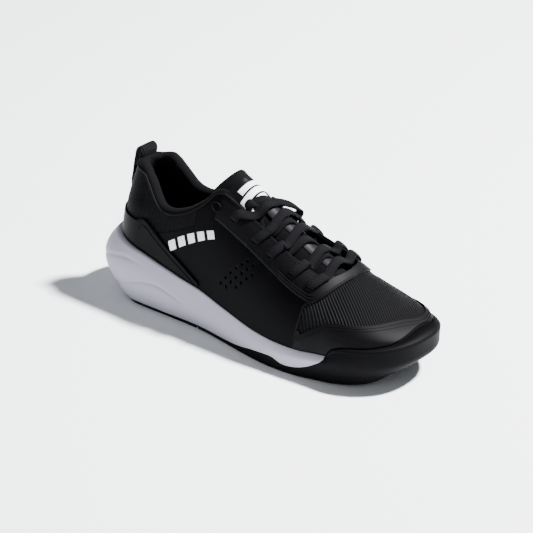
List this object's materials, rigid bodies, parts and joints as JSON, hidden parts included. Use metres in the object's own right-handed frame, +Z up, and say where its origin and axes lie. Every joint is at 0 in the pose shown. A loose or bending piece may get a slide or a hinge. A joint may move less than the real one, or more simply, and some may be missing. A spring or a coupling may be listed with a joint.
{
  "type": "court shoe",
  "caption": "Low-cut right court shoe with layered foam and rubber sole, mesh toe, smooth quarters, padded collar, padded tongue, heel pull tab and oval lace.",
  "frame": {"origin": "centre of the heel fan on the ground, in the flat face of the heel outsole pad", "axes": "+X from heel to toe, +Y to the medial side, +Z up"},
  "size_m": [0.3067, 0.1017, 0.1275],
  "materials": {
    "black_rubber": "matte",
    "foam_grey": "matte",
    "shank": "matte",
    "board": "matte",
    "sockliner_cloth": "matte",
    "black_mesh": "matte",
    "lining": "matte",
    "stiffener": "matte",
    "overlay": "satin",
    "synthetic": "satin",
    "padding": "matte",
    "webbing": "matte",
    "label_black": "satin",
    "satin": "satin",
    "lace": "matte",
    "aglet": "gloss",
    "white_print": "matte"
  },
  "bodies": {
    "shoe": {"outsole_forefoot": "black_rubber", "outsole_heel": "black_rubber", "midsole": "foam_grey", "shank_plate": "shank", "strobel_board": "board", "sockliner": "sockliner_cloth", "toe_mesh": "black_mesh", "vamp_lining": "lining", "toe_puff": "stiffener", "toe_guard": "overlay", "quarter_lateral": "synthetic", "quarter_medial": "synthetic", "quarter_lining": "lining", "eyestay": "overlay", "eyelet_backing": "webbing", "heel_mesh": "black_mesh", "heel_counter_outer": "overlay", "heel_stiffener": "stiffener", "collar_padding": "padding", "collar_lining": "lining", "heel_strip": "webbing", "tongue_base": "black_mesh", "lace_keeper": "satin", "shoelace": "lace", "aglets": "aglet", "side_mark": "white_print"},
    "pull_loop": {"pull_tab": "webbing"},
    "tongue_top": {"tongue_flap": "black_mesh", "tongue_foam": "padding", "tongue_lining": "lining", "tongue_patch": "white_print"}
  },
  "joints": [
    {"name": "pull_tab_flex", "type": "hinge", "parent": "shoe", "child": "pull_loop", "pos_m": [-0.0236, 0, 0.1125], "axis": [0, -1, 0], "range_deg": [0, 40], "stiffness_Nm_per_rad": 0.02},
    {"name": "tongue_flex", "type": "hinge", "parent": "shoe", "child": "tongue_top", "pos_m": [0.097, 0, 0.109], "axis": [0, 1, 0], "range_deg": [-2, 35], "stiffness_Nm_per_rad": 0.15}
  ]
}
